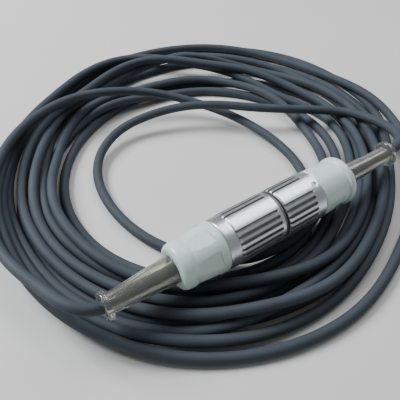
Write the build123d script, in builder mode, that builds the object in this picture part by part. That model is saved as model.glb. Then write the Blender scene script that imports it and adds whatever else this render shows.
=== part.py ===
"""Instrument cable: a loose coil of round cord whose plug and socket are mated across the top.

Frame: +X along the mated pair from plug to socket, +Z up, +Y across the coil.
Origin: centre of the mated pair, on its axis. Millimetres.
"""

import os
from math import atan2, cos, pi, radians, sin, tan

from build123d import *

os.makedirs("parts", exist_ok=True)

# ---- driving dimensions -------------------------------------------------------------------
CORD_R = 3.0            # round rubber cord
SHELL_R = 13.85         # the aluminium bodies of both halves
PAIR_HALF = 95.0        # from the origin to the outer face of either sleeve
AXIS_HEIGHT = 26.5      # the pair's axis above the surface that the coil lies on
COIL_HEIGHT = 12.2      # two layers of cord
HUMP_HEIGHT = 14.6      # the bunched turns at the back

NECK_R = 10.40          # plug neck that the coupling nut turns on
NUT_BORE_R = 10.48
SPIGOT_R = 11.35        # socket spigot that the nut screws over
NUT_THREAD_R = 11.45
LINER_R = 8.60          # bore for the insulators
CLAMP_R = 9.20          # bore for the cord clamps
CAP_THREAD_R = 11.00    # shell threads that carry the caps
PIN_R = 0.80
CONTACT_R = 1.35
PIN_CIRCLE_R = 4.90
PINS_ON_CIRCLE = 6
GROOVE_WIDTH = 1.40
GROOVE_DEPTH = 1.00
GROOVES = 24
LAND_ANGLE = 43.0       # the wide plain land on top of both halves
LAND_ROLL = 8.5         # the land's middle, from +Z towards -Y
RUN = 0.05              # assembly clearance between fixed turned parts

FLOOR = -AXIS_HEIGHT
NUT_LEFT, NUT_RIGHT = -25.6, 3.2
SOCKET_LEFT, SOCKET_RIGHT = 5.2, 31.0
GROOVE_PITCH = (360.0 - LAND_ANGLE) / (GROOVES - 1)
GROOVE_FLOOR_R = SHELL_R - GROOVE_DEPTH
groove_angles = [LAND_ROLL + LAND_ANGLE / 2 + k * GROOVE_PITCH for k in range(GROOVES)]


def finish(piece, name):
    """Label a finished piece and write it to its own STEP file."""
    piece.part.label = name
    export_step(piece.part, f"parts/{name}.step")


# ---- plug: clear sleeve, a soft moulded bend relief with a thick end flange ------------------
with BuildPart() as plug_sleeve:
    with BuildSketch(Plane.XY):
        Polygon(
            (-PAIR_HALF, CORD_R + 0.15),
            (-PAIR_HALF, 7.6),
            (-91.8, 7.6),
            (-91.8, 5.0),
            (-58.2, 7.4),
            (-54.2, 7.4),
            (-54.2, 9.1),
            (-51.5, 9.1),
            (-51.5, 6.1),
            (-58.2, 6.1),
            (-88.0, CORD_R + 0.15),
            align=None,
        )
    revolve(axis=Axis.X)
    flange_rims = plug_sleeve.edges().filter_by(GeomType.CIRCLE).filter_by(
        lambda e: abs(e.radius - 7.6) < 0.01
    )
    fillet(flange_rims, 1.1)
finish(plug_sleeve, "plug_sleeve")

# ---- plug: moulded cap with a rounded collar and six shallow wrench flats --------------------
FLAT_START, FLAT_END = -49.6, -36.8
FLAT_START_R, FLAT_END_R = 11.85, 13.0   # the flats' distance from the axis at either end
FLAT_WIDTH = 12.0
flat_length = FLAT_END - FLAT_START
flat_tilt = atan2(FLAT_END_R - FLAT_START_R, flat_length)
with BuildPart() as plug_cap:
    with BuildSketch(Plane.XY):
        with BuildLine():
            Polyline(
                (-54.4, 9.5), (-54.4, 7.5), (-57.8, 7.5), (-57.8, 9.6),
            )
            ThreePointArc((-57.8, 9.6), (-57.1, 11.2), (-55.6, 12.05))
            ThreePointArc((-55.6, 12.05), (-53.0, 12.5), (-50.6, 12.35))
            Line((-50.6, 12.35), (-49.7, 12.0))
            Spline((-49.7, 12.0), (-47.2, 12.45), (-40.8, 13.3), (-36.0, 13.7))
            Polyline(
                (-36.0, 13.7), (-33.0, 13.75), (-32.3, 13.3), (-32.3, CAP_THREAD_R + RUN),
                (-47.3, CAP_THREAD_R + RUN), (-47.3, 9.5), (-54.4, 9.5),
            )
        make_face()
    revolve(axis=Axis.X)
    for side in range(6):
        roll = radians(LAND_ROLL - 1.0 + 60.0 * side)
        flat_plane = Plane(
            origin=(FLAT_START, -FLAT_START_R * sin(roll), FLAT_START_R * cos(roll)),
            x_dir=(cos(flat_tilt), -sin(flat_tilt) * sin(roll), sin(flat_tilt) * cos(roll)),
            z_dir=(-sin(flat_tilt), -cos(flat_tilt) * sin(roll), cos(flat_tilt) * cos(roll)),
        )
        with BuildSketch(flat_plane):
            with Locations((flat_length / 2, 0)):
                Rectangle(flat_length, FLAT_WIDTH)
        extrude(amount=3.0, mode=Mode.SUBTRACT)
finish(plug_cap, "plug_cap")

# ---- plug: turned shell with its plain band, the cap's thread and the nut's neck -------------
with BuildPart() as plug_shell:
    with BuildSketch(Plane.XY):
        Polygon(
            (-47.0, CLAMP_R),
            (-47.0, CAP_THREAD_R),
            (-32.1, CAP_THREAD_R),
            (-32.1, 13.25),
            (-31.7, 13.55),
            (-26.3, 13.8),
            (-25.8, 13.5),
            (-25.8, NECK_R),
            (-10.3, NECK_R),
            (-10.3, 9.7),
            (-9.1, 9.7),
            (-9.1, NECK_R),
            (-5.0, NECK_R),
            (-5.0, LINER_R),
            (-30.0, LINER_R),
            (-30.0, CLAMP_R),
            align=None,
        )
    revolve(axis=Axis.X)
finish(plug_shell, "plug_shell")

# ---- plug: spring ring in the neck's groove, which keeps the nut on --------------------------
with BuildPart() as nut_retaining_ring:
    with BuildSketch(Plane.YZ.offset(-10.25)):
        Circle(11.2)
        Circle(9.75, mode=Mode.SUBTRACT)
        with Locations((0, -10.5)):
            Rectangle(2.0, 3.0, mode=Mode.SUBTRACT)
    extrude(amount=1.1)
finish(nut_retaining_ring, "nut_retaining_ring")

# ---- coupling nut: fluted, free to turn on the neck, threaded over the socket's spigot -------
with BuildPart() as coupling_nut:
    with BuildSketch(Plane.XY):
        Polygon(
            (NUT_LEFT, NUT_BORE_R),
            (NUT_LEFT, SHELL_R - 0.5),
            (NUT_LEFT + 0.5, SHELL_R),
            (NUT_RIGHT - 1.2, SHELL_R),
            (NUT_RIGHT, SHELL_R - 0.95),
            (NUT_RIGHT, NUT_THREAD_R + 0.5),
            (NUT_RIGHT - 0.5, NUT_THREAD_R),
            (-10.45, NUT_THREAD_R),
            (-10.45, NUT_BORE_R),
            align=None,
        )
    revolve(axis=Axis.X)
    nut_groove_end = NUT_RIGHT - 2.7
    nut_groove_start = NUT_LEFT - 2.0
    for angle in groove_angles:
        with BuildSketch(Plane.XY.rotated((angle, 0, 0)).offset(GROOVE_FLOOR_R)):
            with Locations(((nut_groove_start + nut_groove_end) / 2, 0)):
                SlotOverall(nut_groove_end - nut_groove_start, GROOVE_WIDTH)
        extrude(amount=3.0, mode=Mode.SUBTRACT)
finish(coupling_nut, "coupling_nut")

# ---- plug: insulator disc and its pins -------------------------------------------------------
pin_places = [(0.0, 0.0)] + [
    (PIN_CIRCLE_R * cos(radians(a)), PIN_CIRCLE_R * cos(radians(a - 90.0)))
    for a in range(0, 360, 360 // PINS_ON_CIRCLE)
]
with BuildPart() as plug_insulator:
    with BuildSketch(Plane.YZ.offset(-26.0)):
        Circle(LINER_R - RUN)
        with Locations(*pin_places):
            Circle(PIN_R + 0.02, mode=Mode.SUBTRACT)
    extrude(amount=19.5)
finish(plug_insulator, "plug_insulator")

with BuildPart() as plug_pins:
    with BuildSketch(Plane.YZ.offset(-31.0)):
        with Locations(*pin_places):
            Circle(PIN_R)
    extrude(amount=36.0)
finish(plug_pins, "plug_pins")

# ---- socket: fluted shell with spigot, seal groove, plain band and the cap's thread ----------
SCREW_STATION = 27.7
SCREW_R = 1.50
SCREW_ROLL = 18.0       # from +Z towards -Y
screw_plane = Plane.XY.rotated((SCREW_ROLL, 0, 0))
with BuildPart() as socket_shell:
    with BuildSketch(Plane.XY):
        Polygon(
            (-4.5, LINER_R),
            (-4.5, SPIGOT_R - 0.5),
            (-4.0, SPIGOT_R),
            (3.45, SPIGOT_R),
            (3.45, 12.9),
            (3.95, 12.9),
            (3.95, SPIGOT_R),
            (SOCKET_LEFT, SPIGOT_R),
            (SOCKET_LEFT, SHELL_R - 0.7),
            (SOCKET_LEFT + 0.6, SHELL_R),
            (SOCKET_RIGHT - 0.5, SHELL_R),
            (SOCKET_RIGHT, SHELL_R - 0.4),
            (SOCKET_RIGHT, CAP_THREAD_R),
            (47.0, CAP_THREAD_R),
            (47.0, CLAMP_R),
            (26.0, CLAMP_R),
            (26.0, LINER_R),
            align=None,
        )
    revolve(axis=Axis.X)
    socket_groove_start = SOCKET_LEFT - 2.0
    socket_groove_end = SOCKET_RIGHT - 6.2
    for angle in groove_angles:
        with BuildSketch(Plane.XY.rotated((angle, 0, 0)).offset(GROOVE_FLOOR_R)):
            with Locations(((socket_groove_start + socket_groove_end) / 2, 0)):
                SlotOverall(socket_groove_end - socket_groove_start, GROOVE_WIDTH)
        extrude(amount=3.0, mode=Mode.SUBTRACT)
    with BuildSketch(screw_plane.offset(9.0)):
        with Locations((SCREW_STATION, 0)):
            Circle(SCREW_R)
    extrude(amount=6.0, mode=Mode.SUBTRACT)
    with BuildSketch(screw_plane.offset(SHELL_R - 0.35)):
        with Locations((SCREW_STATION, 0)):
            Circle(SCREW_R + 0.15)
    extrude(amount=2.0, mode=Mode.SUBTRACT)
finish(socket_shell, "socket_shell")

# ---- socket: slotted set screw that locks the cap --------------------------------------------
with BuildPart() as socket_set_screw:
    with BuildSketch(screw_plane.offset(9.4)):
        with Locations((SCREW_STATION, 0)):
            Circle(SCREW_R - 0.02)
    extrude(amount=4.1)
    with BuildSketch(screw_plane.offset(12.9)):
        with Locations((SCREW_STATION, 0)):
            Rectangle(4.0, 0.45, rotation=35)
    extrude(amount=2.0, mode=Mode.SUBTRACT)
finish(socket_set_screw, "socket_set_screw")

# ---- sealing ring in the groove between the halves -------------------------------------------
with BuildPart() as sealing_ring:
    with BuildSketch(Plane.XY):
        with Locations(((3.95 + SOCKET_LEFT) / 2, SPIGOT_R + 0.62)):
            Circle(0.58)
    revolve(axis=Axis.X)
finish(sealing_ring, "sealing_ring")

# ---- socket: insulator and its tubular contacts ----------------------------------------------
with BuildPart() as socket_insulator:
    with BuildSketch(Plane.YZ.offset(-3.6)):
        Circle(LINER_R - RUN)
        with Locations(*pin_places):
            Circle(CONTACT_R + 0.02, mode=Mode.SUBTRACT)
    extrude(amount=25.6)
finish(socket_insulator, "socket_insulator")

with BuildPart() as socket_contacts:
    with BuildSketch(Plane.YZ.offset(-3.4)):
        with Locations(*pin_places):
            Circle(CONTACT_R)
            Circle(PIN_R + 0.04, mode=Mode.SUBTRACT)
    extrude(amount=29.4)
finish(socket_contacts, "socket_contacts")

# ---- socket: moulded cap, slightly conical, ending in a rounded rim with two flats behind it --
SPANNER_APOTHEM = 11.9
SPANNER_ROLL = 127.0    # from +Z towards -Y
with BuildPart() as socket_cap:
    with BuildSketch(Plane.XY):
        with BuildLine():
            Polyline(
                (54.4, 9.5), (49.6, 9.5), (47.3, 9.5), (47.3, CAP_THREAD_R + RUN),
                (31.2, CAP_THREAD_R + RUN), (31.2, 13.0), (31.8, 13.5), (49.4, 12.75),
                (49.9, 13.2),
            )
            ThreePointArc((49.9, 13.2), (50.3, 13.7), (51.0, 13.85))
            ThreePointArc((51.0, 13.85), (53.2, 13.55), (54.3, 12.6))
            Polyline((54.3, 12.6), (56.2, 10.6), (56.2, 6.2), (54.4, 6.2), (54.4, 9.5))
        make_face()
    revolve(axis=Axis.X)
    for roll in (SPANNER_ROLL, SPANNER_ROLL + 180.0):
        with BuildSketch(Plane.XY.rotated((roll, 0, 0)).offset(SPANNER_APOTHEM)):
            with Locations((44.5, 0)):
                Rectangle(10.0, FLAT_WIDTH)
        extrude(amount=3.0, mode=Mode.SUBTRACT)
finish(socket_cap, "socket_cap")

# ---- socket: clear sleeve, slimmer than the plug's -------------------------------------------
with BuildPart() as socket_sleeve:
    with BuildSketch(Plane.XY):
        Polygon(
            (PAIR_HALF, CORD_R + 0.15),
            (PAIR_HALF, 7.6),
            (91.9, 7.6),
            (91.9, 4.8),
            (56.6, 6.1),
            (54.2, 6.1),
            (54.2, 9.1),
            (51.5, 9.1),
            (51.5, 4.8),
            (56.6, 4.8),
            (86.0, CORD_R + 0.15),
            align=None,
        )
    revolve(axis=Axis.X)
    flange_rims = socket_sleeve.edges().filter_by(GeomType.CIRCLE).filter_by(
        lambda e: abs(e.radius - 7.6) < 0.01
    )
    fillet(flange_rims, 1.1)
finish(socket_sleeve, "socket_sleeve")

# ---- cord clamps, one in each cap: washer, rubber bush, washer -------------------------------
for side, half in ((-1, "plug"), (1, "socket")):
    with BuildPart() as clamp_washers:
        with BuildSketch(Plane.YZ.offset(side * 50.8)):
            Circle(CLAMP_R - 0.1)
            Circle(CORD_R + 0.2, mode=Mode.SUBTRACT)
        extrude(amount=0.55, both=True)
        with BuildSketch(Plane.YZ.offset(side * 43.4)):
            Circle(CLAMP_R - 0.1)
            Circle(CORD_R + 0.2, mode=Mode.SUBTRACT)
        extrude(amount=0.55, both=True)
    finish(clamp_washers, f"{half}_clamp_washers")

    with BuildPart() as clamp_bush:
        with BuildSketch(Plane.YZ.offset(side * 47.1)):
            Circle(CLAMP_R - 0.15)
            Circle(CORD_R, mode=Mode.SUBTRACT)
        extrude(amount=3.1, both=True)
    finish(clamp_bush, f"{half}_clamp_bush")

# ---- cord ends: the straight jacket inside each half, and the cores beyond it ----------------
JACKET_END = 40.0
CORE_R = 0.55
CORE_CIRCLE_R = 1.75
for side, half in ((-1, "plug"), (1, "socket")):
    with BuildPart() as cord_end:
        with BuildSketch(Plane.YZ.offset(side * (PAIR_HALF + JACKET_END) / 2)):
            Circle(CORD_R)
        extrude(amount=(PAIR_HALF - JACKET_END) / 2, both=True)
    finish(cord_end, f"cord_{half}_end")

    tail = 31.3 if side < 0 else 26.3
    with BuildPart() as cores:
        for place in pin_places:
            start = (side * (JACKET_END - 0.3), place[0] * CORE_CIRCLE_R / PIN_CIRCLE_R,
                     place[1] * CORE_CIRCLE_R / PIN_CIRCLE_R)
            stop = (side * tail, place[0], place[1])
            with BuildLine() as core_path:
                Line(start, stop)
            with BuildSketch(Plane(origin=start, z_dir=core_path.line % 0)):
                Circle(CORE_R)
            sweep(path=core_path.line)
    finish(cores, f"{half}_cores")

# ---- coil: the outer shape of the loosely laid turns, bunched higher at the back --------------
coil_outline = [
    (155, 40), (157, 82), (144, 132), (120, 176), (83, 205), (36, 218), (-13, 217), (-59, 196),
    (-95, 162), (-118, 118), (-128, 66), (-119, 18), (-94, -17), (-55, -45), (-9, -58),
    (39, -54), (87, -36), (129, -4),
]
coil_hole = [
    (83, 70), (73, 113), (45, 142), (5, 150), (-33, 142), (-62, 117), (-79, 82), (-77, 40),
    (-55, 12), (-17, 0), (29, 4), (63, 28),
]
hump_outline = [
    (143, 60), (140, 112), (116, 160), (73, 190), (21, 203), (-27, 194), (-59, 168), (-55, 148),
    (-17, 158), (27, 156), (65, 140), (87, 110), (95, 70), (115, 46),
]
with BuildPart() as cord_coil:
    with BuildSketch(Plane.XY.offset(FLOOR)):
        with BuildLine():
            Spline(*coil_outline, periodic=True)
        make_face()
        with BuildLine():
            Spline(*coil_hole, periodic=True)
        make_face(mode=Mode.SUBTRACT)
    extrude(amount=COIL_HEIGHT)
    chamfer(cord_coil.faces().sort_by(Axis.Z)[-1].edges(), 3.0)
    with BuildSketch(Plane.XY.offset(FLOOR + COIL_HEIGHT - 1.0)):
        with BuildLine():
            Spline(*hump_outline, periodic=True)
        make_face()
    extrude(amount=HUMP_HEIGHT - COIL_HEIGHT + 1.0)
    chamfer(cord_coil.faces().sort_by(Axis.Z)[-1].edges(), 1.5)
finish(cord_coil, "cord_coil")


# ---- leads: the two stretches of cord between the coil and the sleeves -----------------------
def bend_radii(points):
    """Each arc's radius: 0.45 of the shorter run beside it, over the tangent of half the turn."""
    radii = []
    for before, here, after in zip(points, points[1:], points[2:]):
        run_in = Vector(*here) - Vector(*before)
        run_out = Vector(*after) - Vector(*here)
        turn = run_in.get_angle(run_out)
        radii.append(0.45 * min(run_in.length, run_out.length) / tan(radians(turn) / 2))
    return radii


plug_lead_route = [
    (-95, 0, 0), (-107, 0, 0), (-118.5, 6.5, -1.5), (-124.5, 19.5, -4.8), (-123.5, 38, -8),
    (-122, 62, -10.5), (-119, 92, -10.8), (-108, 122, -10.8), (-91, 150, -10.5),
    (-65, 169, -8.5), (-33, 177, -7.6), (-3, 169, -8.2), (20, 151, -8.2), (37, 127, -8.8),
    (53, 102, -12), (64, 77, -17), (67, 52, -21), (62, 32, -23), (50, 15, -23.4), (34, 1, -23.4),
]
socket_lead_route = [
    (95, 0, 0), (107, 0, 0), (118.5, 6, -1.2), (125, 18.5, -3.5), (125, 34, -6), (118, 50, -7.8),
    (103, 65, -8.2), (85, 77, -7.4), (65, 88, -4.5), (46, 101, -1.8), (28, 115, -3.2),
    (8, 127, -8.5), (-15, 131, -13), (-36, 121, -15.5), (-50, 102, -16.6), (-56, 78, -17.4),
    (-55, 53, -18.4), (-47, 30, -20), (-33, 12, -22), (-13, -2, -23.3),
]
for half, route in (("plug", plug_lead_route), ("socket", socket_lead_route)):
    radii = bend_radii(route)
    with BuildPart() as cord_lead:
        with BuildLine() as lead_path:
            FilletPolyline(*route, radius=radii)
        with BuildSketch(Plane(origin=lead_path.line @ 0, z_dir=lead_path.line % 0)):
            Circle(CORD_R)
        sweep(path=lead_path.line)
    finish(cord_lead, f"cord_{half}_lead")
    length = lead_path.wires()[0].length
    expected = pi * CORD_R**2 * length
    print(f"cord_{half}_lead: length {length:.0f} mm,",
          f"volume {cord_lead.part.volume:.0f} of {expected:.0f} mm3, radii",
          [round(r) for r in radii])
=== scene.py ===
"""Instrument cable: a loose coil of round rubber cord whose plug and socket are mated across it.

Metres, +X along the mated pair from the plug to the socket, +Z up, origin at the pair's centre.
"""

from math import cos, pi, radians, sin

import bpy
import numpy as np
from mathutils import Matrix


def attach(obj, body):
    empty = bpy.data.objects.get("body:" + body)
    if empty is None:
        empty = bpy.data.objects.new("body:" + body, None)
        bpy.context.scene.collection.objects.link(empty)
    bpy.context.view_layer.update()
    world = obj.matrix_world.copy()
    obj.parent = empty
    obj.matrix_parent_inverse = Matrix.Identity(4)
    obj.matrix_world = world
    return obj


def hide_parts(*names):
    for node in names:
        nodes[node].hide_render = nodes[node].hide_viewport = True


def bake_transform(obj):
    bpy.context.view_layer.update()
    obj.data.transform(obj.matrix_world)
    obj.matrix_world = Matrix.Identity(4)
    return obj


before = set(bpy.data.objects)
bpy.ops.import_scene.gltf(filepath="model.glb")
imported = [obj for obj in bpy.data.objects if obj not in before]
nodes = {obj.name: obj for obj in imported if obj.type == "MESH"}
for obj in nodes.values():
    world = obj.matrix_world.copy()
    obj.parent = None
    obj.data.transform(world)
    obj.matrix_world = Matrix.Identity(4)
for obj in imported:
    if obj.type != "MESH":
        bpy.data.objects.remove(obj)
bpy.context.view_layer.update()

# ---- Camera -----------------------------------------------------------------------------------
# Someone standing over the table, at the plug's end of the pair, looks down at the middle of the
# coil with an ordinary lens.
camera = bpy.data.objects.new("camera", bpy.data.cameras.new("camera"))
camera.data.sensor_width = 36.0
camera.data.lens = 45.0
camera.data.clip_start = 0.01
camera.location = (-0.13135, -0.1280, 0.1895)
camera.rotation_euler = (radians(45.7), 0.0, radians(-34.96))
bpy.context.scene.collection.objects.link(camera)
bpy.context.scene.camera = camera

# ---- Studio -----------------------------------------------------------------------------------
# A pale matt table top under the coil, a broad soft light behind and to the left, as a window
# gives, a weaker one above to the right, and a grey room all round.
FLOOR_Z = -0.0265
FLOOR_HALF = 3.0


class Wire:
    """An output of a material's nodes. Sums and products of wires add their Math nodes."""

    def __init__(self, tree, socket=None):
        self.tree = tree
        self.socket = socket

    def node(self, kind, settings=None, inputs=None, output=0):
        """Add a node: its settings first, then a value or a wire for each socket."""
        made = self.tree.nodes.new("ShaderNode" + kind)
        for name, value in (settings or {}).items():
            if name == "stops":
                for place, colour in value[2:]:
                    made.color_ramp.elements.new(place)
                for stop, (place, colour) in zip(made.color_ramp.elements, value):
                    stop.position = place
                    stop.color = (*colour, 1.0)
            else:
                setattr(made, name, value)
        for name, value in (inputs or {}).items():
            if isinstance(value, Wire):
                self.tree.links.new(value.socket, made.inputs[name])
            else:
                made.inputs[name].default_value = value
        return Wire(self.tree, made.outputs[output])

    def math(self, operation, *values):
        return self.node("Math", {"operation": operation}, dict(enumerate(values)))

    def clamped(self):
        return self.node("Clamp", None, {"Value": self})

    def __add__(self, other):
        return self.math("ADD", self, other)

    __radd__ = __add__

    def __sub__(self, other):
        return self.math("SUBTRACT", self, other)

    def __rsub__(self, other):
        return self.math("SUBTRACT", other, self)

    def __mul__(self, other):
        return self.math("MULTIPLY", self, other)

    __rmul__ = __mul__

    def __truediv__(self, other):
        return self.math("DIVIDE", self, other)

    def __pow__(self, other):
        return self.math("POWER", self, other)

    def __abs__(self):
        return self.math("ABSOLUTE", self)


def new_material(name):
    """An empty material and the wire that its nodes start from."""
    material = bpy.data.materials.new(name)
    material.use_nodes = True
    material.node_tree.nodes.clear()
    return material, Wire(material.node_tree)


def surface(start, **sockets):
    """The one Principled shader of a material, to the output. Names have _ for a space."""
    named = {name.replace("_", " "): value for name, value in sockets.items()}
    shader = start.node("BsdfPrincipled", None, named)
    output = start.tree.nodes.new("ShaderNodeOutputMaterial")
    start.tree.links.new(shader.socket, output.inputs["Surface"])


def mix(factor, a, b):
    """Two colours mixed by factor."""
    return factor.node("Mix", {"data_type": "RGBA"}, {0: factor, 6: a, 7: b}, 2)


def stretched(where, scale):
    """A place scaled by a different amount along each axis."""
    return where.node("VectorMath", {"operation": "MULTIPLY"}, {0: where, 1: scale})


def noise(where, scale, detail=3.0, roughness=0.5):
    """Cloudy noise from about 0 to 1 at that many features a metre."""
    sockets = {"Vector": where, "Scale": scale, "Detail": detail, "Roughness": roughness}
    return where.node("TexNoise", None, sockets)


def steps(value, low, high):
    """0 below low, 1 above high, eased between."""
    settings = {"interpolation_type": "SMOOTHSTEP"}
    return value.node("MapRange", settings, {0: value, 1: low, 2: high, 3: 0.0, 4: 1.0})


def bumped(height, distance):
    """A surface normal from a height of 0 to 1 and the depth that it stands for."""
    return height.node("Bump", None, {"Height": height, "Distance": distance, "Strength": 1.0})


floor_material, start = new_material("table_top")
place = start.node("TexCoord", output=3)
cloud = noise(place, 9.0, 4.0)
speck = noise(place, 900.0, 2.0)
surface(
    start,
    Base_Color=mix(cloud, (0.60, 0.585, 0.56, 1.0), (0.655, 0.64, 0.615, 1.0)),
    Roughness=0.55 + 0.15 * speck,
    Normal=bumped(speck, 0.00004),
)
floor_mesh = bpy.data.meshes.new("table_top")
floor_mesh.from_pydata(
    [(x * FLOOR_HALF, y * FLOOR_HALF, FLOOR_Z) for x, y in ((-1, -1), (1, -1), (1, 1), (-1, 1))],
    [],
    [(0, 1, 2, 3)],
)
floor_mesh.materials.append(floor_material)
table_top = bpy.data.objects.new("table_top", floor_mesh)
bpy.context.scene.collection.objects.link(table_top)


def soft_light(name, location, aim, size, power, colour):
    """A square area light that faces aim."""
    light = bpy.data.lights.new(name, "AREA")
    light.size = size
    light.energy = power
    light.color = colour
    lamp = bpy.data.objects.new(name, light)
    lamp.location = location
    away = lamp.location - type(lamp.location)(aim)
    lamp.rotation_euler = away.to_track_quat("Z", "Y").to_euler()
    bpy.context.scene.collection.objects.link(lamp)


soft_light("window", (-0.60, 0.85, 0.95), (0.0, 0.05, 0.0), 0.60, 30.0, (0.93, 0.97, 1.0))
soft_light("room_fill", (0.62, 0.30, 1.05), (0.0, 0.05, 0.0), 0.9, 9.0, (0.97, 0.98, 1.0))
room = bpy.data.worlds.new("room")
room.use_nodes = True
room.node_tree.nodes["Background"].inputs["Color"].default_value = (0.72, 0.76, 0.80, 1.0)
room.node_tree.nodes["Background"].inputs["Strength"].default_value = 0.30
bpy.context.scene.world = room

# ---- Cord -------------------------------------------------------------------------------------
# One length of round screened cord in a matt slate-grey rubber jacket, wound clockwise into ten
# loose turns that nothing ties. Both ends come back over the coil to the connectors. It lies
# under its own weight, so each turn rests on the table or on the turns below it.
MM = 0.001  # the route is in millimetres
CORD_D = 6.0
LYING = FLOOR_Z / MM + CORD_D / 2  # the height of the middle of a cord on the table
COIL_CENTRE = (14.35, 75.2)
FIRST_DIRECTION = -34.96  # degrees from +X of the first of the twelve directions round the coil
plug_lead = [
    (-95, 0, 0), (-100, 0.5, 1.2), (-105.1, 3.5, 2.8), (-108.9, 8.9, 3.4), (-111.6, 17.2, 2),
    (-114.4, 30, -1.8), (-118.2, 45, -4.8), (-121.2, 62, -5.9), (-119.4, 84.9, -4.3),
    (-108.8, 113.9, -4.3), (-92.3, 141, -4), (-67.2, 159.2, -2), (-36.2, 166.9, -1.1),
    (-6.3, 161.4, -3.1), (19.9, 150.9, -8.1), (41.1, 133.1, -13.6), (58.7, 109.1, -18.2),
    (68.1, 81.3, -21.3), (68.9, 53.7, -23), (62.5, 32.4, -23.5), (50.1, 15.1, -23.5),
    (34.1, 1.1, -23.5),
]
socket_lead = [
    (95, 0, 0), (103, 0.3, 0), (112, 3.5, -0.5), (120.8, 13, -3.6), (126.6, 26.4, -7.4),
    (126.9, 43.6, -10.7), (121.8, 57.3, -12.5), (108.2, 69.3, -12.6), (89.2, 81, -11.2),
    (69.9, 93.4, -9.4), (52, 108.8, -8.3), (33.4, 123.2, -9.7), (11.4, 133.2, -13.3),
    (-12.5, 136.6, -17.4), (-33.6, 127.3, -20.7), (-47.6, 108.8, -22.7), (-53.8, 84.1, -23.5),
    (-53.1, 57.4, -23.5), (-45.8, 32.3, -23.1), (-33, 11.9, -21.9), (-14.7, -3.9, -20.2),
]
# Each turn's radius at the twelve directions, clockwise, from the first turn laid to the last.
turn_radii = [
    (79, 87, 92, 93, 91.5, 90, 91, 95.5, 102.5, 112.5, 113.5, 102),
    (98.5, 104, 110, 108, 105, 101, 96, 88.5, 91, 91, 92, 87.5),
    (85, 94.5, 99, 102, 103.5, 102.5, 115.5, 124, 136.5, 139.5, 135.5, 119),
    (113, 115.5, 118.5, 120, 118.5, 113, 114, 133, 135, 133.5, 124, 112.5),
    (106.5, 111.5, 124, 125.5, 122.5, 126, 134, 148, 157.5, 158.5, 140, 119),
    (116.5, 123.5, 130, 131, 126.5, 125.5, 130.5, 145, 153.5, 152, 139, 137.5),
    (129, 135, 137, 136.5, 129.5, 125.5, 128.5, 139.5, 116.5, 100.5, 104.5, 96),
    (91.5, 101, 110, 110, 109.5, 105, 109, 120, 122.5, 126.5, 122.5, 112.5),
    (112, 118.5, 119, 117, 115.5, 113.5, 107, 122, 108, 110, 110, 104),
    (103, 105.5, 101.5, 101, 98.5, 95.5, 100, 96, 99, 91, 82, 79),
]
POINTS_BETWEEN = 4  # the cord's points from one direction to the next, 48 a turn
FIRST_POINT, LAST_POINT = 6, 489  # where the leads take over

knots = [70, 75]  # the end of the plug's lead comes in from inside the coil
for radii in turn_radii:
    knots += radii
knots += [80, 84, 82, 80]  # the socket's lead leaves to the inside



def eased_between(a, b, c, d, t):
    """A value that goes smoothly from b at t = 0 to c at t = 1, between a before and d after."""
    value = b + t * (c - a) / 2 + t * t * (a - 2.5 * b + 2 * c - d / 2)
    return value + t * t * t * (1.5 * (b - c) + (d - a) / 2)


turns = []
for k in range(FIRST_POINT, LAST_POINT):
    i, t = 1 + k // POINTS_BETWEEN, k % POINTS_BETWEEN / POINTS_BETWEEN
    radius = eased_between(*knots[i - 1:i + 3], t)
    angle = radians(FIRST_DIRECTION - 30.0 * k / POINTS_BETWEEN)
    x, y = COIL_CENTRE[0] + radius * cos(angle), COIL_CENTRE[1] + radius * sin(angle)
    turns.append((x, y, LYING))
route = np.array(plug_lead + turns + socket_lead[::-1], float)

# Each turn is let down onto what was laid before it. The cord is sampled between its points, and
# two samples closer together in plan than a diameter cross, so the later one is lifted clear.
SAMPLES = 4  # between one point and the next
SETTLING_STEPS = 300
SINK = 0.4  # how far the cord goes down in the first step, and less in each one after
STIFFNESS = 0.5
SMOOTHING_PASSES = 2
LIFTING_PASSES = 6
LIFT_SHARE = 0.6  # how much of what a crossing lacks is made up in one pass
NEIGHBOURS = 25.0  # samples closer than this along the cord don't cross
LAID_LAST = 16  # the plug's lead is laid over the coil up to this point
sample = np.arange((len(route) - 2) * SAMPLES)
t = sample % SAMPLES / SAMPLES
weight = np.zeros((len(sample), len(route)))
for k, share in enumerate(((1 - t) ** 2 / 2, 0.5 + t - t * t, t * t / 2)):
    weight[sample, sample // SAMPLES + k] = share
spots = weight @ route[:, :2]
along = np.concatenate([[0], np.cumsum(np.linalg.norm(np.diff(spots, axis=0), axis=1))])
apart = np.linalg.norm(spots[:, None] - spots[None], axis=2)
laid = sample + len(sample) * (sample < LAID_LAST * SAMPLES)
laid = laid + 2 * len(sample) * (sample >= (len(route) - len(socket_lead) - 1) * SAMPLES)
crossing = (apart < CORD_D) & (np.abs(along[:, None] - along[None]) > NEIGHBOURS)
low, high = np.nonzero(crossing & (laid[:, None] < laid[None]))
clearance = np.sqrt(CORD_D ** 2 - apart[low, high] ** 2)
resting = np.zeros(len(route), bool)
resting[len(plug_lead):-len(socket_lead)] = True
share_limit = weight.max(0)
height = route[:, 2].copy()
for step in range(SETTLING_STEPS):
    eased = height.copy()
    for _ in range(SMOOTHING_PASSES):
        ends = np.pad(eased, 2, mode="edge")
        fourth = ends[:-4] - 4 * ends[1:-3] + 6 * ends[2:-2] - 4 * ends[3:-1] + ends[4:]
        eased -= STIFFNESS * fourth / 16
    eased -= SINK * (1 - step / SETTLING_STEPS)
    height = np.where(resting, eased, route[:, 2])
    for _ in range(LIFTING_PASSES):
        heights = weight @ height
        lift = np.zeros(len(sample))
        np.maximum.at(lift, high, heights[low] + clearance - heights[high])
        height[resting] += LIFT_SHARE * ((weight * lift[:, None]).max(0) / share_limit)[resting]
        height = np.maximum(height, np.where(resting, LYING, height))
route[:, 2] = height

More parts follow.
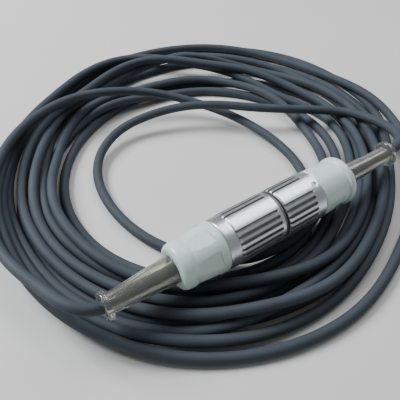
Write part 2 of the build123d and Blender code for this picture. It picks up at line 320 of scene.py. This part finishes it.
cord_line = bpy.data.curves.new("cord_line", "CURVE")
cord_line.dimensions = "3D"
cord_line.resolution_u = 6
spline = cord_line.splines.new("NURBS")
spline.points.add(len(route) - 1)
for point, (x, y, z) in zip(spline.points, route * MM):
    point.co = (x, y, z, 1.0)
spline.order_u = 3
spline.use_endpoint_u = True
line_mesh = bpy.data.meshes.new_from_object(bpy.data.objects.new("cord_line", cord_line))
line = np.array([v.co for v in line_mesh.vertices], float)
line_along = np.concatenate([[0], np.cumsum(np.linalg.norm(np.diff(line, axis=0), axis=1))])
print("cord line", len(line), "points,", round(line_along[-1], 3), "m")


def smooth_mesh(name, points, faces, flat_faces):
    """An object from points and faces, smooth but for the last few faces and their edges."""
    mesh = bpy.data.meshes.new(name)
    mesh.from_pydata([tuple(p) for p in points], [], faces)
    smooth = np.ones(len(faces), bool)
    smooth[len(faces) - flat_faces:] = False
    mesh.polygons.foreach_set("use_smooth", smooth)
    for face in mesh.polygons[len(faces) - flat_faces:]:
        for corner in face.loop_indices:
            mesh.edges[mesh.loops[corner].edge_index].use_edge_sharp = True
    mesh.validate()
    made = bpy.data.objects.new(name, mesh)
    bpy.context.scene.collection.objects.link(made)
    return made


SIDES = 24  # of a cord's tube


def cord_tube(name, path, start_along):
    """A closed tube round path. It keeps where each point was on the straight cord."""
    ahead = np.gradient(path, axis=0)
    ahead /= np.linalg.norm(ahead, axis=1)[:, None]
    across = np.cross(ahead, (0, 0, 1))
    across /= np.linalg.norm(across, axis=1)[:, None]
    up = np.cross(across, ahead)
    rings, straight = [], []
    distance = start_along
    for k, here in enumerate(path):
        distance += np.linalg.norm(here - path[k - 1]) if k else 0.0
        for side in range(SIDES):
            turn = 2 * pi * side / SIDES
            out = (across[k] * cos(turn) + up[k] * sin(turn)) * CORD_D / 2 * MM
            rings.append(here + out)
            straight.append((distance, cos(turn) * CORD_D / 2 * MM, sin(turn) * CORD_D / 2 * MM))
    faces = []
    for k in range(len(path) - 1):
        for side in range(SIDES):
            a, b = k * SIDES + side, k * SIDES + (side + 1) % SIDES
            faces.append((a, b, b + SIDES, a + SIDES))
    last = (len(path) - 1) * SIDES
    faces.append(tuple(range(SIDES))[::-1])
    faces.append(tuple(range(last, last + SIDES)))
    made = smooth_mesh(name, rings, faces, flat_faces=2)
    kept = made.data.attributes.new("straight", "FLOAT_VECTOR", "POINT")
    kept.data.foreach_set("vector", np.array(straight, np.float32).ravel())
    return made


def rubber_jacket(name, by_attribute):
    """Matt slate rubber: fine pimples, faint draw lines along it, rubbed and dusty patches."""
    material, start = new_material(name)
    if by_attribute:
        where = start.node("Attribute", {"attribute_name": "straight"}, None, 1)
    else:
        where = start.node("TexCoord", output=3)
    pimples = noise(where, 2600.0, 3.0, 0.6)
    draw_lines = noise(stretched(where, (14.0, 1500.0, 1500.0)), 1.0, 2.0)
    mottle = noise(where, 55.0, 4.0, 0.6)
    dust = steps(noise(where, 420.0, 5.0, 0.7), 0.60, 0.80)
    rubbed = steps(noise(where, 24.0, 3.0), 0.48, 0.72)
    shade = mix(mottle, (0.033, 0.042, 0.054, 1.0), (0.049, 0.061, 0.076, 1.0))
    shade = mix(rubbed * 0.5, shade, (0.056, 0.071, 0.090, 1.0))
    shade = mix(dust * 0.22, shade, (0.16, 0.17, 0.18, 1.0))
    surface(
        start,
        Base_Color=shade,
        Roughness=(0.62 + 0.16 * pimples - 0.06 * rubbed + 0.12 * dust).clamped(),
        Specular_IOR_Level=0.32,
        Normal=bumped(pimples + 0.8 * draw_lines, 0.00006),
    )
    return material


jacket = rubber_jacket("cord_jacket", True)
SLACK = 0.060  # the first stretch of cord at the plug, made as a tube of its own
slack_end = int(np.searchsorted(line_along, SLACK))
slack_length = float(line_along[slack_end])
cord_slack = cord_tube("cord_slack", line[:slack_end + 1], 0.0)
cord_slack.data.materials.append(jacket)
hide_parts("cord_plug_lead")
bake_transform(cord_slack)

cord = cord_tube("cord", line[slack_end:], slack_length)
cord.data.materials.append(jacket)
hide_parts("cord_coil", "cord_socket_lead")
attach(cord, "socket_half")

# ---- Cord ends --------------------------------------------------------------------------------
# The same cord goes on straight through each sleeve into the connector, where a rubber bush
# between two washers grips it and its jacket stops.
jacket_inside = rubber_jacket("cord_jacket_inside", False)


def finish_node(name, material):
    """Gives a carried-over CAD node its finish."""
    node = nodes[name]
    node.data.materials.clear()
    node.data.materials.append(material)
    return node


for name in ("cord_plug_end", "cord_socket_end"):
    finish_node(name, jacket_inside)

# ---- Bend-relief sleeves ----------------------------------------------------------------------
# Each connector's cord leaves through a tapered sleeve of clear soft vinyl that has yellowed. It
# is moulded in one piece with a thick flange at its end, and the cap traps its foot.
vinyl, start = new_material("clear_vinyl")
place = start.node("TexCoord", output=3)
haze = noise(place, 120.0, 4.0, 0.6)
scuffs = noise(stretched(place, (260.0, 1800.0, 1800.0)), 1.0, 4.0, 0.6)
surface(
    start,
    Base_Color=mix(haze, (0.86, 0.85, 0.74, 1.0), (0.92, 0.92, 0.84, 1.0)),
    Roughness=(0.05 + 0.12 * steps(scuffs, 0.55, 0.8)).clamped(),
    IOR=1.48,
    Transmission_Weight=0.95,
    Coat_Weight=0.8,
    Coat_Roughness=0.04,
    Normal=bumped(scuffs + haze, 0.00005),
)
for name in ("plug_sleeve", "socket_sleeve"):
    finish_node(name, vinyl)

# ---- Caps -------------------------------------------------------------------------------------
# Each half's back cap is a pale grey-green thermoset moulding with wrench flats, screwed on the
# shell over the cord clamp. Handling has left patches of grime on it and a dull polish.
moulding, start = new_material("pale_moulding")
place = start.node("TexCoord", output=3)
cloud = noise(place, 60.0, 4.0, 0.6)
stain = steps(noise(place, 190.0, 5.0, 0.65), 0.52, 0.78)
specks = steps(noise(place, 1500.0, 2.0), 0.66, 0.74)
orange_peel = noise(place, 1100.0, 2.0)
shade = mix(cloud, (0.56, 0.70, 0.64, 1.0), (0.64, 0.77, 0.71, 1.0))
shade = mix(stain * 0.35, shade, (0.40, 0.44, 0.34, 1.0))
shade = mix(specks * 0.25, shade, (0.25, 0.24, 0.18, 1.0))
surface(
    start,
    Base_Color=shade,
    Roughness=(0.20 + 0.12 * cloud + 0.18 * stain).clamped(),
    Specular_IOR_Level=0.5,
    Normal=bumped(orange_peel + 0.5 * cloud, 0.00007),
)


def eased_edges(node, width):
    """Breaks a node's sharp edges with a narrow round, as moulding and turning do."""
    weld = node.modifiers.new("weld", "WELD")
    weld.merge_threshold = 0.00001
    bevel = node.modifiers.new("eased_edges", "BEVEL")
    bevel.width = width
    bevel.segments = 2
    bevel.angle_limit = radians(35)
    weighted = node.modifiers.new("weighted", "WEIGHTED_NORMAL")
    weighted.keep_sharp = False


for name in ("plug_cap", "socket_cap"):
    eased_edges(finish_node(name, moulding), 0.00025)

# ---- Shells and coupling nut ------------------------------------------------------------------
# Turned from aluminium bar and fluted for the fingers, with a plain land left on top. The nut
# turns on the plug's neck and screws over the socket's spigot. Grime and painted shade darken
# the flutes.
aluminium, start = new_material("turned_aluminium")
place = start.node("TexCoord", output=3)
x, y, z = (start.node("SeparateXYZ", None, {"Vector": place}, k) for k in range(3))
out = (y * y + z * z) ** 0.5
lathe_lines = noise(stretched(place, (5200.0, 90.0, 90.0)), 1.0, 3.0, 0.7)
wear = noise(place, 160.0, 4.0, 0.6)
scratches = steps(noise(stretched(place, (300.0, 4200.0, 4200.0)), 1.0, 3.0), 0.62, 0.76)
flute = 1 - steps(out, 0.01295, 0.0134)


def between(value, rise, fall):
    """1 in a band, eased in over the two values of rise and out over those of fall."""
    return steps(value, *rise) * (1 - steps(value, *fall))


# The flutes start 30 degrees off the top towards -Y, and the land takes up what is left of the
# round. A painted shade darkens a band along each side of them.
FLUTES = 24
FLUTE_PITCH = 13.783  # degrees
FIRST_FLUTE = 30.0
roll = start.math("ARCTAN2", -1.0 * y, z) * (180 / pi)
past_first = start.math("MODULO", roll + (360.0 - FIRST_FLUTE), 360.0) / FLUTE_PITCH
off_flute = abs(past_first - past_first.math("ROUND", past_first)) * FLUTE_PITCH
# painted shade: a dark band beside each flute, set by roll angle, on the nut and the socket's
# shell
painted_rim_shade = (1 - steps(off_flute, 3.3, 5.2)) * (1 - steps(past_first, FLUTES - 0.8, FLUTES - 0.7))
on_nut = between(x, (-0.0245, -0.0238), (-0.0002, 0.0005))
on_socket = between(x, (0.0058, 0.0064), (0.0240, 0.0248))
painted_rim_shade = painted_rim_shade * (on_nut + on_socket)
# grime and painted shade: the flute bottoms and the painted band beside them, darkened almost to
# black
grime_and_painted_shade = (flute * (0.55 + 0.45 * wear) + 0.75 * painted_rim_shade * (1 - flute)).clamped()
shade = mix(wear, (0.80, 0.84, 0.86, 1.0), (0.91, 0.94, 0.95, 1.0))
shade = mix(lathe_lines * 0.35, shade, (0.62, 0.64, 0.67, 1.0))
shade = mix(grime_and_painted_shade * 0.9, shade, (0.035, 0.037, 0.04, 1.0))
surface(
    start,
    Base_Color=shade,
    Metallic=1 - 0.35 * grime_and_painted_shade,
    Roughness=(0.20 + 0.12 * lathe_lines + 0.10 * wear + 0.30 * grime_and_painted_shade).clamped(),
    Normal=bumped(lathe_lines + 0.6 * scratches, 0.00005),
)
for name in ("plug_shell", "coupling_nut", "socket_shell"):
    eased_edges(finish_node(name, aluminium), 0.00012)

# ---- Set screw and retaining ring -------------------------------------------------------------
# A small slotted steel screw locks the socket's cap to its shell, and an open spring ring in the
# neck's groove keeps the nut on the plug. Both are bare steel.
steel, start = new_material("spring_steel")
place = start.node("TexCoord", output=3)
drawn = noise(stretched(place, (900.0, 900.0, 4000.0)), 1.0, 3.0)
tarnish = noise(place, 500.0, 4.0)
surface(
    start,
    Base_Color=mix(tarnish, (0.32, 0.32, 0.33, 1.0), (0.46, 0.46, 0.47, 1.0)),
    Metallic=1.0,
    Roughness=(0.28 + 0.2 * drawn).clamped(),
    Normal=bumped(drawn, 0.00003),
)
for name in ("socket_set_screw", "nut_retaining_ring"):
    finish_node(name, steel)

# ---- Sealing ring and clamp bushes ------------------------------------------------------------
# A black rubber ring seals the gap between the halves, and in each cap a thick rubber bush is
# squeezed round the cord.
seal_rubber, start = new_material("seal_rubber")
place = start.node("TexCoord", output=3)
grain = noise(place, 3000.0, 3.0)
bloom = noise(place, 300.0, 4.0)
surface(
    start,
    Base_Color=mix(bloom, (0.012, 0.012, 0.013, 1.0), (0.028, 0.028, 0.029, 1.0)),
    Roughness=(0.5 + 0.25 * grain).clamped(),
    Normal=bumped(grain, 0.00004),
)
for name in ("sealing_ring", "plug_clamp_bush", "socket_clamp_bush"):
    finish_node(name, seal_rubber)

# ---- Clamp washers ----------------------------------------------------------------------------
# Punched brass washers, nickel plated, one at each side of either bush.
plated, start = new_material("plated_brass")
place = start.node("TexCoord", output=3)
rolled = noise(stretched(place, (3000.0, 300.0, 3000.0)), 1.0, 3.0)
spots_of_brass = steps(noise(place, 700.0, 4.0), 0.6, 0.7)
surface(
    start,
    Base_Color=mix(spots_of_brass, (0.66, 0.63, 0.56, 1.0), (0.70, 0.55, 0.30, 1.0)),
    Metallic=1.0,
    Roughness=(0.25 + 0.2 * rolled).clamped(),
    Normal=bumped(rolled, 0.00003),
)
for name in ("plug_clamp_washers", "socket_clamp_washers"):
    finish_node(name, plated)

# ---- Insulators -------------------------------------------------------------------------------
# Turned black phenolic plugs that hold seven contacts apart, pressed into the shells' bores.
phenolic, start = new_material("black_phenolic")
place = start.node("TexCoord", output=3)
filler = noise(place, 1800.0, 4.0, 0.7)
turning = noise(stretched(place, (6000.0, 120.0, 120.0)), 1.0, 2.0)
surface(
    start,
    Base_Color=mix(filler, (0.018, 0.016, 0.015, 1.0), (0.045, 0.038, 0.033, 1.0)),
    Roughness=(0.35 + 0.2 * filler).clamped(),
    Normal=bumped(turning + filler, 0.00003),
)
for name in ("plug_insulator", "socket_insulator"):
    finish_node(name, phenolic)

# ---- Pins and contacts ------------------------------------------------------------------------
# Solid pins in the plug, tubes in the socket, all turned brass with a gilt finish.
gilt, start = new_material("gilt")
place = start.node("TexCoord", output=3)
turning = noise(stretched(place, (9000.0, 200.0, 200.0)), 1.0, 2.0)
rub = noise(place, 900.0, 4.0)
surface(
    start,
    Base_Color=mix(rub, (0.80, 0.60, 0.24, 1.0), (0.88, 0.72, 0.38, 1.0)),
    Metallic=1.0,
    Roughness=(0.18 + 0.16 * rub).clamped(),
    Normal=bumped(turning, 0.00002),
)
for name in ("plug_pins", "socket_contacts"):
    finish_node(name, gilt)

# ---- Cores ------------------------------------------------------------------------------------
# Seven fine insulated wires from the cord's end to the contacts of each half.
insulation, start = new_material("core_insulation")
place = start.node("TexCoord", output=3)
y, z = (start.node("SeparateXYZ", None, {"Vector": place}, k) for k in (1, 2))
lay_angle = y.math("ARCTAN2", z, y) / (2 * pi) + 0.5
colours = ((0.0, (0.45, 0.05, 0.04)), (0.17, (0.50, 0.42, 0.05)), (0.33, (0.05, 0.25, 0.08)),
           (0.5, (0.06, 0.12, 0.40)), (0.67, (0.55, 0.55, 0.52)), (0.83, (0.20, 0.08, 0.03)))
banded = lay_angle.node("ValToRGB", {"stops": colours}, {"Fac": lay_angle})
fleck = noise(place, 2500.0, 3.0)
surface(
    start,
    Base_Color=mix(fleck * 0.3, banded, (0.3, 0.3, 0.3, 1.0)),
    Roughness=(0.4 + 0.2 * fleck).clamped(),
    Normal=bumped(fleck, 0.00002),
)
for name in ("plug_cores", "socket_cores"):
    finish_node(name, insulation)
